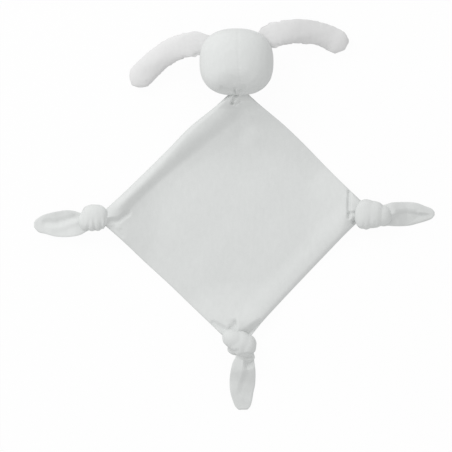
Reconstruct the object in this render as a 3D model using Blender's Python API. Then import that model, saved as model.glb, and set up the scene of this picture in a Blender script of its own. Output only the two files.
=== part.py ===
# Comfort blanket lovey: a square of double cloth lying flat, a stuffed head with two long ears sewn to
# its top corner, and the three other corners tied in overhand knots that leave short tails.
# Metres, +Z up. The toy lies on a surface at Z = 0 and +Y points to the head. The origin is under the
# middle of the cloth.

import math

import bmesh
import bpy
from mathutils import Matrix, Vector

# Cloth and clearances
CLOTH_THICKNESS = 0.0012
SEAT_GAP = 0.0003
HINGED_SEAT_GAP = 0.0006
FLAT_CUT = 0.0005
CUT_OVERRUN = 0.05

# The cloth square, which lies on its corner: from the origin to its four corners before they are tied
BLANKET_HALF_ACROSS = 0.136
BLANKET_UP = 0.131
BLANKET_DOWN = 0.134
BLANKET_MIDLINE_X = 0.005
SIDE_CORNER_LIFT = 0.004
FOLD_DROP = 0.029

# How the cloth stands off the surface: at the neck, at the knots, in the puffed field between the
# layers and in the rolled edge that runs from the neck to the left knot
NECK_RISE = 0.020
NECK_REACH = 0.066
EDGE_SAG_REACH = 0.0190
KNOT_REACH = 0.030
PUFF_HEIGHT = 0.0016
PUFF_EDGE = 0.016
ROLL_HEIGHT = 0.0048
ROLL_INSET = 0.0062
ROLL_HALF_WIDTH = 0.0060
VALLEY_INSET = 0.0140
FOLD_FLAT_ZONE = 0.014

# Bands of closer grid columns along the cloth's left and right edges
LEFT_COLUMNS_REACH = 0.030
RIGHT_COLUMNS_REACH = 0.024

# Head: width, height towards the neck, depth off the surface, and where its middle lies across
HEAD_WIDTH = 0.0765
HEAD_HEIGHT = 0.0695
HEAD_DEPTH = 0.0620
HEAD_X = 0.0025
HEAD_SQUARENESS = 2.5
HEAD_ROUNDNESS = 2.15
BACK_SEAM_TURN = math.radians(4)

# Neck: how far below the square's corner the head is sewn on, the gather thread round the cloth there
# and the line that the head nods about
NECK_BELOW_CORNER = 0.01375
NECK_SETBACK = 0.0050
NECK_TUCK = 0.0040
NECK_THREAD_RADIUS = 0.0005
NECK_THREAD_STANDOFF = 0.0006

# Ears: length along the middle line, greatest width and thickness, and how they leave the head
EAR_LENGTH = 0.085
EAR_WIDTH = 0.0252
EAR_ROOT_WIDTH = 0.0275
EAR_THICKNESS = 0.0130
EAR_ROOT_THICKNESS = 0.0026
EAR_TUCK = 0.016
EAR_HINGE_SETBACK = 0.0070
EAR_FLAT_ROOT = 0.009
EAR_PLUMP_AFTER = 0.026
EAR_FILLING_START = 0.014
EAR_DROP_LENGTH = 0.046
LEFT_EAR_ROOT = math.radians(152.4)
LEFT_EAR_HEADINGS = (math.radians(176), math.radians(229))
RIGHT_EAR_ROOT = math.radians(39)
RIGHT_EAR_HEADINGS = (math.radians(22), math.radians(-38))

# Knots: length along the corner, width, height, and how far past the square's corner each is tied
LEFT_KNOT_LENGTH = 0.0280
LEFT_KNOT_WIDTH = 0.0280
LEFT_KNOT_PAST_CORNER = 0.0040
RIGHT_KNOT_LENGTH = 0.0265
RIGHT_KNOT_WIDTH = 0.0300
RIGHT_KNOT_PAST_CORNER = 0.0020
RIGHT_KNOT_SHIFT = 0.0035
BOTTOM_KNOT_LENGTH = 0.0265
BOTTOM_KNOT_WIDTH = 0.0350
BOTTOM_KNOT_PAST_CORNER = 0.0003
KNOT_HEIGHT = 0.0230
KNOT_HINGE_SETBACK = 0.0090
FOOT_TUCK = 0.0060

# Tails: the tied-off points of the cloth's corners
TAIL_THICKNESS = 0.0026
TAIL_TUCK = 0.0060
TAIL_HINGE_SETBACK = 0.0090
TAIL_DROP_LENGTH = 0.024
LEFT_TAIL_LENGTH = 0.0465
LEFT_TAIL_WIDTH = 0.0270
RIGHT_TAIL_LENGTH = 0.0500
RIGHT_TAIL_WIDTH = 0.0240
BOTTOM_TAIL_LENGTH = 0.0495
BOTTOM_TAIL_WIDTH = 0.0255
TAIL_CUP = 0.0045
TAIL_CREASE = 0.0035
LEFT_TAIL_HEADING = math.radians(187.5)
RIGHT_TAIL_HEADING = math.radians(0)
BOTTOM_TAIL_HEADING = math.radians(-85)

# Counts of facets
FEWEST_CORNERS = 3
HEAD_RINGS = 12
HEAD_QUARTER_SIDES = 5
EAR_SIDES = 12
EAR_BODY_STATIONS = 9
EAR_TIP_STATIONS = 4
TAIL_STATIONS = 10
TAIL_COLUMNS = 8
LOBE_SIDES = 12
LOBE_RINGS = 7
RING_SIDES = 18
RING_SECTION_SIDES = 8
NECK_ROWS = 9
FOLD_ROWS = 4
FOOT_ROWS = 9
MIDDLE_COLUMNS = 4
NECK_THREAD_POINTS = 9

# Shares that shape the pieces
edge_sag_share = 0.55
ear_tip_start_share = 0.80
left_ear_bend_share = 2.0
right_ear_bend_share = 1.0
tail_root_share = 0.66
tail_waist_end_share = 0.34
tail_tip_start_share = 0.50
tail_tip_width_share = 0.20
tail_fullest_share = 0.55
tail_crease_side_share = -0.15
tail_crease_width_share = 0.45
tail_tip_crowding = 1.25
row_crowding = 1.2
left_column_shares = (0.0, 0.10, 0.23, 0.37, 0.53, 0.73, 1.0)
right_column_shares = (1.0, 0.62, 0.34, 0.12, 0.0)

# The wrap lies slanted round the knot: its ring, section, length and slant as shares of the knot's
# half sizes. Two bulges show beside it, one on the cloth's side and one on the tail's side
wrap_ring_share = 0.56
wrap_section_share = 0.44
wrap_length_share = 0.50
wrap_slant_share = 0.35
inner_lobe_place_shares = (-0.42, 0.20, 0.0)
outer_lobe_place_shares = (0.42, -0.20, 0.0)
lobe_size_shares = (0.58, 0.66, 0.80)

CLOTH_COLOUR = (0.72, 0.735, 0.72, 1.0)
EAR_COLOUR = (0.76, 0.77, 0.76, 1.0)
FILLING_COLOUR = (0.86, 0.86, 0.84, 1.0)
THREAD_COLOUR = (0.80, 0.80, 0.78, 1.0)


# The head is sewn to the cloth, and it is cut flat where it rests. The cloth and the tails enter the
# knots at their middle height
NECK_Y = BLANKET_UP - NECK_BELOW_CORNER
HEAD_Y = NECK_Y + HEAD_HEIGHT / 2
HEAD_Z = HEAD_DEPTH / 2 - FLAT_CUT
KNOT_Z = KNOT_HEIGHT / 2 - FLAT_CUT
KNOT_RISE = KNOT_Z - CLOTH_THICKNESS - SEAT_GAP / 2
TAIL_RISE = KNOT_Z - TAIL_THICKNESS / 2


def ease(value):
    """1 at 0 and below, 0 at 1 and above, and level at both ends."""
    value = min(max(value, 0.0), 1.0)
    return (1 - value) ** 2 * (1 + 2 * value)


def bump(value):
    """1 at 0, falling evenly to 0 at -1 and at 1."""
    return ease(abs(value))


def signed_power(value, exponent):
    return math.copysign(abs(value) ** exponent, value)


def spread(start, end, count, crowding=1.0):
    """count values from start to end, closer together near start where crowding is over 1."""
    return [start + (end - start) * (i / (count - 1)) ** crowding for i in range(count)]


# Materials and meshes


def make_material(name, colour, roughness):
    material = bpy.data.materials.new(name)
    material.use_nodes = True
    shader = material.node_tree.nodes["Principled BSDF"]
    shader.inputs["Base Color"].default_value = colour
    shader.inputs["Roughness"].default_value = roughness
    shader.inputs["Metallic"].default_value = 0.0
    return material


def make_piece(name, points, faces, colour, roughness=0.95):
    """An object with its own material, from points in world metres."""
    mesh = bpy.data.meshes.new(name)
    mesh.from_pydata([tuple(p) for p in points], [], faces)
    shape = bmesh.new()
    shape.from_mesh(mesh)
    bmesh.ops.recalc_face_normals(shape, faces=shape.faces[:])
    shape.to_mesh(mesh)
    shape.free()
    mesh.shade_smooth()
    piece = bpy.data.objects.new(name, mesh)
    piece.data.materials.append(make_material(name, colour, roughness))
    bpy.context.scene.collection.objects.link(piece)
    return piece


def merge_points(points, faces):
    """Joins points that coincide, and drops the corners and faces that this collapses."""
    first = {}
    kept = []
    new_index = []
    for point in points:
        key = tuple(round(c / CLOTH_THICKNESS * 1e5) for c in point)
        if key not in first:
            first[key] = len(kept)
            kept.append(point)
        new_index.append(first[key])
    clean = []
    for face in faces:
        corners = []
        for index in face:
            if new_index[index] not in corners:
                corners.append(new_index[index])
        if len(corners) >= FEWEST_CORNERS:
            clean.append(corners)
    return kept, clean


def slab(outer, inner):
    """Points and faces of the closed body between two grids of points with the same rows and columns.
    The grids' cells are triangles, so that layers on the same grid keep their gap all over."""
    rows, columns = len(outer), len(outer[0])
    points = [p for row in outer for p in row] + [p for row in inner for p in row]
    below = rows * columns

    def at(row, column):
        return row * columns + column

    faces = []
    for i in range(rows - 1):
        for j in range(columns - 1):
            near, far = [at(i, j), at(i, j + 1)], [at(i + 1, j + 1), at(i + 1, j)]
            for triangle in ([*near, far[0]], [near[0], *far]):
                faces.append(triangle)
                faces.append([k + below for k in reversed(triangle)])
    rim = [at(0, j) for j in range(columns)]
    rim += [at(i, columns - 1) for i in range(1, rows)]
    rim += [at(rows - 1, j) for j in range(columns - 2, -1, -1)]
    rim += [at(i, 0) for i in range(rows - 2, 0, -1)]
    for a, b in zip(rim, rim[1:] + rim[:1]):
        faces.append([b, a, a + below, b + below])
    return merge_points(points, faces)


def tube(rings):
    """Points and faces of a closed body through rings of points. A ring may shrink to one point."""
    sides = len(rings[0])
    points = [p for ring in rings for p in ring]
    faces = [list(range(sides))]
    for i in range(len(rings) - 1):
        for j in range(sides):
            k = (j + 1) % sides
            faces.append([i * sides + j, i * sides + k, (i + 1) * sides + k, (i + 1) * sides + j])
    faces.append([(len(rings) - 1) * sides + j for j in range(sides)])
    return merge_points(points, faces)


def drop(piece):
    mesh = piece.data
    bpy.data.objects.remove(piece)
    bpy.data.meshes.remove(mesh)


def cut(piece, tool, operation="DIFFERENCE"):
    """Changes the piece's own mesh by an exact Boolean with the tool."""
    modifier = piece.modifiers.new("cut", "BOOLEAN")
    modifier.operation = operation
    modifier.solver = "EXACT"
    modifier.object = tool
    evaluated = piece.evaluated_get(bpy.context.evaluated_depsgraph_get())
    mesh = bpy.data.meshes.new_from_object(evaluated)
    piece.modifiers.clear()
    old = piece.data
    piece.data = mesh
    bpy.data.meshes.remove(old)
    mesh.name = piece.name


def make_box(name, low, high):
    corners = [(x, y, z) for x in (low[0], high[0]) for y in (low[1], high[1]) for z in (low[2], high[2])]
    faces = [(0, 1, 3, 2), (4, 6, 7, 5), (0, 4, 5, 1), (2, 3, 7, 6), (0, 2, 6, 4), (1, 5, 7, 3)]
    return make_piece(name, corners, faces, CLOTH_COLOUR)


def cut_flat(piece):
    """Cuts away what would lie under the surface that the toy rests on."""
    low = [min(v.co[k] for v in piece.data.vertices) - CUT_OVERRUN for k in range(3)]
    high = [max(v.co[k] for v in piece.data.vertices) + CUT_OVERRUN for k in range(3)]
    under = make_box("under_surface", low, (high[0], high[1], 0.0))
    cut(piece, under)
    drop(under)


# Head


def head_point(latitude, around, grow):
    """A point of the head's surface, moved out by grow. Latitude runs from the neck to the crown."""
    rise = signed_power(math.sin(latitude), 2 / HEAD_SQUARENESS)
    girth = signed_power(math.cos(latitude), 2 / HEAD_SQUARENESS)
    side = signed_power(math.cos(around), 2 / HEAD_ROUNDNESS)
    up = signed_power(math.sin(around), 2 / HEAD_ROUNDNESS)
    return Vector(
        (
            HEAD_X + (HEAD_WIDTH / 2 + grow) * girth * side,
            HEAD_Y + (HEAD_HEIGHT / 2 + grow) * rise,
            HEAD_Z + (HEAD_DEPTH / 2 + grow) * girth * up,
        )
    )


def head_latitudes():
    quarter = math.pi / 2
    inner = [-quarter + math.pi * i / HEAD_RINGS for i in range(1, HEAD_RINGS)]
    return [-quarter] + inner + [quarter]


def head_turns():
    """Turns of the head's facets for its right back, left back and front panel, seam to seam."""
    back_seam = math.pi / 2 - BACK_SEAM_TURN
    right = spread(0.0, back_seam, HEAD_QUARTER_SIDES + 1)
    left = spread(back_seam, math.pi, HEAD_QUARTER_SIDES + 1)
    front = spread(math.pi, 2 * math.pi, 2 * HEAD_QUARTER_SIDES + 1)
    return right, left, front


def head_rings(turns, grow):
    rings = []
    for latitude in head_latitudes():
        ring = [head_point(latitude, turn, grow) for turn in turns]
        if abs(latitude) == math.pi / 2:
            for point in ring:
                point.x, point.z = HEAD_X, HEAD_Z
        rings.append(ring)
    return rings


def head_solid(name, grow):
    right, left, front = head_turns()
    turns = right[:-1] + left[:-1] + front[:-1]
    return make_piece(name, *tube(head_rings(turns, grow)), FILLING_COLOUR)


def head_panel(name, turns, first_shift, last_shift):
    """A sewn panel of the head's cover, whose two seam edges are drawn back by their shifts."""
    grids = []
    for grow in (0.0, -CLOTH_THICKNESS):
        rings = head_rings(turns, grow)
        for ring in rings:
            ring[0] += Vector(first_shift)
            ring[-1] += Vector(last_shift)
        grids.append(rings)
    return make_piece(name, *slab(*grids), CLOTH_COLOUR)


def make_head():
    half_gap = SEAT_GAP / 2
    above, below = (0, 0, half_gap), (0, 0, -half_gap)
    right_turns, left_turns, front_turns = head_turns()
    right = head_panel("head_back_panel_right", right_turns, above, (half_gap, 0, 0))
    left = head_panel("head_back_panel_left", left_turns, (-half_gap, 0, 0), above)
    front = head_panel("head_front_panel", front_turns, below, below)
    cut_flat(front)
    filling = head_solid("head_filling", -CLOTH_THICKNESS - SEAT_GAP)
    return [right, left, front, filling]


def head_outline(direction):
    """Point and outward normal of the head's outline, seen from above, in a direction from its middle."""
    a, b, n = HEAD_WIDTH / 2, HEAD_HEIGHT / 2, HEAD_SQUARENESS
    dx, dy = math.cos(direction), math.sin(direction)
    reach = (abs(dx / a) ** n + abs(dy / b) ** n) ** (-1 / n)
    x, y = reach * dx, reach * dy
    normal = Vector((signed_power(x / a, n - 1) / a, signed_power(y / b, n - 1) / b, 0)).normalized()
    return Vector((HEAD_X + x, HEAD_Y + y, HEAD_Z)), normal


# Ears


class Ear:
    """One ear: its root on the head's side seam, its middle line and its section along it."""

    def __init__(self, side, root_direction, heading_start, heading_end, bend_share):
        self.side = side
        self.root, self.normal = head_outline(root_direction)
        self.headings = (heading_start, heading_end)
        self.bend_share = bend_share
        self.hinge = self.root + self.normal * EAR_HINGE_SETBACK
        self.rest_height = EAR_THICKNESS / 2 - FLAT_CUT

    def heading(self, share):
        start, end = self.headings
        share = min(max(share, 0.0), 1.0)
        return start + (end - start) * (1 - (1 - share) ** self.bend_share)

    def middle(self, run):
        """Point of the middle line at a run from the root, which is negative inside the head."""
        steps = 24
        point = self.root.copy()
        for i in range(steps):
            turn = self.heading((i + 0.5) / steps * run / EAR_LENGTH)
            point += Vector((math.cos(turn), math.sin(turn), 0)) * (run / steps)
        drop_share = ease((run - EAR_FLAT_ROOT) / EAR_DROP_LENGTH)
        point.z = self.rest_height + (HEAD_Z - self.rest_height) * drop_share
        return point

    def section(self, run, inset):
        """Half width and half thickness at a run from the root, drawn in by inset."""
        tip_start = EAR_LENGTH * ear_tip_start_share
        end = 1.0
        if run > tip_start:
            end = math.sqrt(max(0.0, 1 - ((run - tip_start) / (EAR_LENGTH - inset - tip_start)) ** 2))
        root_share = ease(run / EAR_PLUMP_AFTER)
        width = EAR_WIDTH + (EAR_ROOT_WIDTH - EAR_WIDTH) * root_share
        plump = 1 - ease((run - EAR_FLAT_ROOT) / EAR_PLUMP_AFTER)
        thickness = EAR_ROOT_THICKNESS + (EAR_THICKNESS - EAR_ROOT_THICKNESS) * plump
        return (width / 2 - inset) * end, (thickness / 2 - inset) * end

    def runs(self, inset):
        """Places of the sections, which the ear's nested layers share."""
        tip_start = EAR_LENGTH * ear_tip_start_share
        body = spread(-EAR_TUCK, tip_start, EAR_BODY_STATIONS)
        tip = EAR_LENGTH - inset - tip_start
        quarter = math.pi / 2 / EAR_TIP_STATIONS
        rounding = [tip_start + tip * math.sin(quarter * i) for i in range(1, EAR_TIP_STATIONS)]
        return body + rounding + [tip_start + tip]

    def ring(self, run, inset, turns):
        centre = self.middle(run)
        turn = self.heading(run / EAR_LENGTH)
        across = Vector((-math.sin(turn), math.cos(turn), 0))
        half_width, half_thickness = self.section(run, inset)
        ring = []
        for around in turns:
            side = across * (half_width * math.cos(around))
            up = Vector((0, 0, half_thickness * math.sin(around)))
            ring.append(centre + side + up)
        return ring

    def panel(self, name, turn_from, turn_to, shift):
        turns = spread(turn_from, turn_to, EAR_SIDES // 2 + 1)
        grids = []
        for inset in (0.0, CLOTH_THICKNESS):
            rings = [self.ring(run, inset, turns) for run in self.runs(inset)]
            grids.append([[point + shift for point in ring] for ring in rings])
        return make_piece(name, *slab(*grids), EAR_COLOUR)

    def filling(self, name):
        inset = CLOTH_THICKNESS + SEAT_GAP
        turns = [2 * math.pi * i / EAR_SIDES for i in range(EAR_SIDES)]
        runs = [run for run in self.runs(inset) if run > EAR_FILLING_START]
        rings = [self.ring(run, inset, turns) for run in runs]
        return make_piece(name, *tube(rings), FILLING_COLOUR)


def make_ear(ear, head_clearance):
    half_gap = Vector((0, 0, SEAT_GAP / 2))
    top = ear.panel(f"ear_{ear.side}_top_panel", 0.0, math.pi, half_gap)
    under = ear.panel(f"ear_{ear.side}_under_panel", math.pi, 2 * math.pi, -half_gap)
    filling = ear.filling(f"ear_{ear.side}_filling")
    for panel in (top, under):
        cut(panel, head_clearance)
    cut_flat(under)
    return [top, under, filling]


# Knots and tails


class TiedCorner:
    """A corner of the cloth that is tied off: where its knot sits, and the tail that leaves it."""

    def __init__(self, name, corner, heading, past, shift, knot_size, tail_size, tail_heading):
        self.name = name
        self.out = Vector((math.cos(heading), math.sin(heading), 0))
        self.side = Vector((-math.sin(heading), math.cos(heading), 0))
        self.centre = Vector(corner) + self.out * past + Vector((0, -shift, 0))
        self.centre.z = KNOT_Z
        self.length, self.width = knot_size
        self.tail_length, self.tail_width = tail_size
        self.tail_out = Vector((math.cos(tail_heading), math.sin(tail_heading), 0))
        self.tail_side = Vector((-math.sin(tail_heading), math.cos(tail_heading), 0))

    def place(self, out, side, up):
        return self.centre + self.out * out + self.side * side + Vector((0, 0, up))

    def cloth_hinge(self):
        """Where the cloth bends, just short of the knot."""
        return self.centre - self.out * (self.length / 2 + KNOT_HINGE_SETBACK)

    def from_hinge(self, x, y):
        """How far a point of the cloth lies from its tied end, which is level from the hinge to the knot."""
        offset = self.centre - Vector((x, y, self.centre.z))
        inward = offset.dot(self.out) - self.length / 2 - KNOT_HINGE_SETBACK
        aside = abs(offset.dot(self.side)) - self.width / 2
        return math.hypot(max(inward, 0.0), max(aside, 0.0))

    def tail_hinge(self):
        return self.centre + self.tail_out * (self.length / 2 + TAIL_HINGE_SETBACK)


def corners():
    """The square's four corners before they are tied, by name."""
    return {
        "top": (BLANKET_MIDLINE_X, BLANKET_UP, 0),
        "bottom": (BLANKET_MIDLINE_X, -BLANKET_DOWN, 0),
        "left": (-BLANKET_HALF_ACROSS, -SIDE_CORNER_LIFT, 0),
        "right": (BLANKET_HALF_ACROSS, SIDE_CORNER_LIFT, 0),
    }


def tied_corners():
    place = corners()
    left = TiedCorner(
        "left",
        place["left"],
        math.pi,
        LEFT_KNOT_PAST_CORNER,
        0.0,
        (LEFT_KNOT_LENGTH, LEFT_KNOT_WIDTH),
        (LEFT_TAIL_LENGTH, LEFT_TAIL_WIDTH),
        LEFT_TAIL_HEADING,
    )
    right = TiedCorner(
        "right",
        place["right"],
        0.0,
        RIGHT_KNOT_PAST_CORNER,
        RIGHT_KNOT_SHIFT,
        (RIGHT_KNOT_LENGTH, RIGHT_KNOT_WIDTH),
        (RIGHT_TAIL_LENGTH, RIGHT_TAIL_WIDTH),
        RIGHT_TAIL_HEADING,
    )
    bottom = TiedCorner(
        "bottom",
        place["bottom"],
        -math.pi / 2,
        BOTTOM_KNOT_PAST_CORNER,
        0.0,
        (BOTTOM_KNOT_LENGTH, BOTTOM_KNOT_WIDTH),
        (BOTTOM_TAIL_LENGTH, BOTTOM_TAIL_WIDTH),
        BOTTOM_TAIL_HEADING,
    )
    return [left, right, bottom]


def lobe(name, corner, place_shares, grow):
    """A bulge of the knot, placed by shares of the knot's half length, width and height."""
    half = (corner.length / 2, corner.width / 2, KNOT_HEIGHT / 2)
    centre = [half[k] * place_shares[k] for k in range(3)]
    reach = [half[k] * lobe_size_shares[k] + grow for k in range(3)]
    rings = []
    for i in range(LOBE_RINGS + 1):
        latitude = math.pi * i / LOBE_RINGS
        girth = 0.0 if i in (0, LOBE_RINGS) else math.sin(latitude)
        ring = []
        for j in range(LOBE_SIDES):
            turn = 2 * math.pi * j / LOBE_SIDES
            out = centre[0] - reach[0] * math.cos(latitude)
            side = centre[1] + reach[1] * girth * math.cos(turn)
            up = centre[2] + reach[2] * girth * math.sin(turn)
            ring.append(corner.place(out, side, up))
        rings.append(ring)
    return make_piece(name, *tube(rings), CLOTH_COLOUR)


def wrap(name, corner, grow):
    """The loop of cloth that is wound round the knot."""
    half = (corner.length / 2, corner.width / 2, KNOT_HEIGHT / 2)
    points = []
    faces = []
    for i in range(RING_SIDES):
        turn = 2 * math.pi * i / RING_SIDES
        for j in range(RING_SECTION_SIDES):
            around = 2 * math.pi * j / RING_SECTION_SIDES
            slant = half[0] * wrap_slant_share * math.cos(turn)
            out = slant + (half[0] * wrap_length_share + grow) * math.sin(around)
            side_radius = half[1] * wrap_ring_share + (half[1] * wrap_section_share + grow) * math.cos(around)
            up_radius = half[2] * wrap_ring_share + (half[2] * wrap_section_share + grow) * math.cos(around)
            points.append(corner.place(out, side_radius * math.cos(turn), up_radius * math.sin(turn)))
            k = (i + 1) % RING_SIDES
            m = (j + 1) % RING_SECTION_SIDES
            ring, section = i * RING_SECTION_SIDES, k * RING_SECTION_SIDES
            faces.append([ring + j, ring + m, section + m, section + j])
    return make_piece(name, points, faces, CLOTH_COLOUR)


def knot_solid(name, corner, grow):
    knot = wrap(name, corner, grow)
    for place_shares in (inner_lobe_place_shares, outer_lobe_place_shares):
        bulge = lobe("bulge", corner, place_shares, grow)
        cut(knot, bulge, "UNION")
        drop(bulge)
    return knot


def tail_half_width(share, corner):
    opening = tail_root_share + (1 - tail_root_share) * (1 - ease(share / tail_waist_end_share))
    end = 1.0
    if share > tail_tip_start_share:
        end = math.sqrt(1 - ((share - tail_tip_start_share) / (1 - tail_tip_start_share)) ** 2)
    return corner.tail_width / 2 * opening * max(end, tail_tip_width_share)


def tail_solid(corner, knot_clearance):
    """The tail: a leaf of folded cloth, cupped at its edges and creased along its middle."""
    start = corner.length / 2 - TAIL_TUCK
    reach = corner.tail_length + TAIL_TUCK
    grids = [[], []]
    level = TAIL_TUCK + TAIL_HINGE_SETBACK
    for i in range(TAIL_STATIONS):
        share = 1 - (1 - i / (TAIL_STATIONS - 1)) ** tail_tip_crowding
        half_width = tail_half_width(max(0.0, share * reach - TAIL_TUCK) / corner.tail_length, corner)
        fade_share = 1 - tail_fullest_share
        if share < tail_fullest_share:
            fade_share = tail_fullest_share - level / reach
        fullness = bump((share - tail_fullest_share) / fade_share)
        rise = TAIL_RISE * ease((share * reach - level) / TAIL_DROP_LENGTH)
        rows = [[], []]
        for across in spread(-1.0, 1.0, TAIL_COLUMNS + 1):
            cup = TAIL_CUP * across**2 * fullness
            from_crease = (across - tail_crease_side_share) / tail_crease_width_share
            crease = TAIL_CREASE * bump(from_crease) * fullness
            point = corner.centre + corner.tail_out * (start + share * reach)
            point += corner.tail_side * (half_width * across)
            for row, thickness in zip(rows, (TAIL_THICKNESS, 0.0)):
                row.append(Vector((point.x, point.y, rise + cup + crease + thickness)))
        for grid, row in zip(grids, rows):
            grid.append(row)
    tail = make_piece(f"tail_{corner.name}", *slab(grids[0], grids[1]), CLOTH_COLOUR)
    cut(tail, knot_clearance)
    return tail


# Blanket


def edge_distance(x, y, start, end):
    """How far a point lies inside the straight edge from start to end, which has the cloth on its right."""
    along = (Vector(end) - Vector(start)).normalized()
    return (x - start[0]) * along.y - (y - start[1]) * along.x


def edge_distances(x, y):
    place = corners()
    upper_left = edge_distance(x, y, place["left"], place["top"])
    upper_right = edge_distance(x, y, place["top"], place["right"])
    lower_right = edge_distance(x, y, place["right"], place["bottom"])
    lower_left = edge_distance(x, y, place["bottom"], place["left"])
    return upper_left, upper_right, lower_right, lower_left


def off_fold_share(y):
    """0 on the fold line, where the layers lie flat on each other, and 1 away from it."""
    return 1 - ease(abs(y + FOLD_DROP) / FOLD_FLAT_ZONE)


def cloth_rise(x, y):
    """How far both layers stand off the surface, at the neck and at the knots."""
    upper_left, upper_right, _, _ = edge_distances(x, y)
    from_neck = NECK_Y - y
    at_edge = ease(min(upper_left, upper_right) / EDGE_SAG_REACH)
    sag = 1 - edge_sag_share * at_edge * (1 - ease(from_neck / NECK_REACH))
    rises = [NECK_RISE * ease(from_neck / NECK_REACH) * sag]
    for corner in tied_corners():
        rises.append(KNOT_RISE * ease(corner.from_hinge(x, y) / KNOT_REACH))
    return max(rises) * off_fold_share(y)


def puff(x, y):
    """How far the top layer stands off the under layer: a soft field, and a roll along one edge."""
    upper_left, upper_right, lower_right, lower_left = edge_distances(x, y)
    from_hinges = [NECK_Y - NECK_SETBACK - y] + [corner.from_hinge(x, y) for corner in tied_corners()]
    open_share = 1 - ease(min(from_hinges) / KNOT_REACH)
    nearest = min(upper_left - VALLEY_INSET, upper_right, lower_right, lower_left)
    field = PUFF_HEIGHT * (1 - ease(nearest / PUFF_EDGE))
    roll = ROLL_HEIGHT * bump((upper_left - ROLL_INSET) / ROLL_HALF_WIDTH)
    return (field + roll) * open_share * off_fold_share(y)


def cloth_columns(y):
    """X of each grid column at a height y of the square, edge to edge."""
    place = corners()

    def crossing(start, end):
        share = (y - start[1]) / (end[1] - start[1])
        return start[0] + share * (end[0] - start[0])

    left = crossing(place["left"], place["top" if y > place["left"][1] else "bottom"])
    right = crossing(place["right"], place["top" if y > place["right"][1] else "bottom"])
    scale = min(1.0, (right - left) / (2 * (LEFT_COLUMNS_REACH + RIGHT_COLUMNS_REACH)))
    columns = [left + LEFT_COLUMNS_REACH * scale * share for share in left_column_shares]
    far_side = [right - RIGHT_COLUMNS_REACH * scale * share for share in right_column_shares]
    middle = spread(columns[-1], far_side[0], MIDDLE_COLUMNS + 2)[1:-1]
    return columns + middle + far_side


def layer(name, rows, top_layer):
    """One layer of the cloth between its first and last grid rows."""
    grids = [[], []]
    for y in rows:
        upper = []
        lower = []
        for x in cloth_columns(y):
            height = cloth_rise(x, y)
            if top_layer:
                height += CLOTH_THICKNESS + SEAT_GAP + puff(x, y)
            upper.append(Vector((x, y, height + CLOTH_THICKNESS)))
            lower.append(Vector((x, y, height)))
        grids[0].append(upper)
        grids[1].append(lower)
    return make_piece(name, *slab(grids[0], grids[1]), CLOTH_COLOUR)


def make_blanket(head_clearance, knot_clearances):
    """The two layers, each in a head-side and a foot-side part that meet at the fold."""
    place = corners()
    tuck = NECK_Y + NECK_TUCK
    fold = -FOLD_DROP
    head_rows = spread(tuck, place["right"][1], NECK_ROWS, row_crowding) + [place["left"][1]]
    head_rows += spread(place["left"][1], fold + SEAT_GAP / 2, FOLD_ROWS)[1:]
    foot = place["bottom"][1] + FOOT_TUCK
    foot_rows = list(reversed(spread(foot, fold - SEAT_GAP / 2, FOOT_ROWS, row_crowding)))
    pieces = {}
    for name, top_layer in (("top", True), ("under", False)):
        upper = layer(f"blanket_{name}_layer_head_side", head_rows, top_layer)
        lower = layer(f"blanket_{name}_layer_foot_side", foot_rows, top_layer)
        cut(upper, head_clearance)
        cut(upper, knot_clearances["left"])
        cut(upper, knot_clearances["right"])
        cut(lower, knot_clearances["bottom"])
        pieces[name] = (upper, lower)
    return pieces


def neck_hinge():
    """The head nods about a line along the underside of the cloth, square off the head's surface there."""
    return Vector((BLANKET_MIDLINE_X, NECK_Y - NECK_SETBACK, NECK_RISE))


def make_neck_thread():
    """The thread that is wound round the gathered corner of the cloth, between the head and the hinge."""
    y = NECK_Y - NECK_SETBACK / 2
    columns = cloth_columns(y)
    clear = NECK_THREAD_RADIUS + NECK_THREAD_STANDOFF
    over = []
    under = []
    for x in spread(columns[0] - clear, columns[-1] + clear, NECK_THREAD_POINTS):
        on_cloth = min(max(x, columns[0]), columns[-1])
        height = cloth_rise(on_cloth, y)
        over.append((x, y, height + 2 * CLOTH_THICKNESS + SEAT_GAP + puff(on_cloth, y) + clear))
        under.append((x, y, height - clear))
    route = over + list(reversed(under))
    curve = bpy.data.curves.new("neck_gather_thread", "CURVE")
    curve.dimensions = "3D"
    curve.bevel_depth = NECK_THREAD_RADIUS
    curve.bevel_resolution = 1
    spline = curve.splines.new("POLY")
    spline.points.add(len(route) - 1)
    for point, place in zip(spline.points, route):
        point.co = (*place, 1.0)
    spline.use_cyclic_u = True
    thread = bpy.data.objects.new("neck_gather_thread", curve)
    curve.materials.append(make_material("neck_gather_thread", THREAD_COLOUR, 0.6))
    bpy.context.scene.collection.objects.link(thread)
    return thread


# Bodies


def make_joint(name, point, parent=None):
    """An empty on a joint's axis, which carries the pieces that move there."""
    joint = bpy.data.objects.new(name, None)
    bpy.context.scene.collection.objects.link(joint)
    joint.location = point
    if parent is not None:
        joint.parent = parent
        joint.location = Vector(point) - world_place(parent)
    return joint


def world_place(joint):
    place = Vector(joint.location)
    while joint.parent is not None:
        joint = joint.parent
        place += joint.location
    return place


def carry(joint, pieces):
    """Puts each piece's origin on the joint and parents it there, without moving it."""
    place = world_place(joint)
    for piece in pieces:
        if piece.type == "MESH":
            piece.data.transform(Matrix.Translation(-place))
            piece.parent = joint


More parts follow.
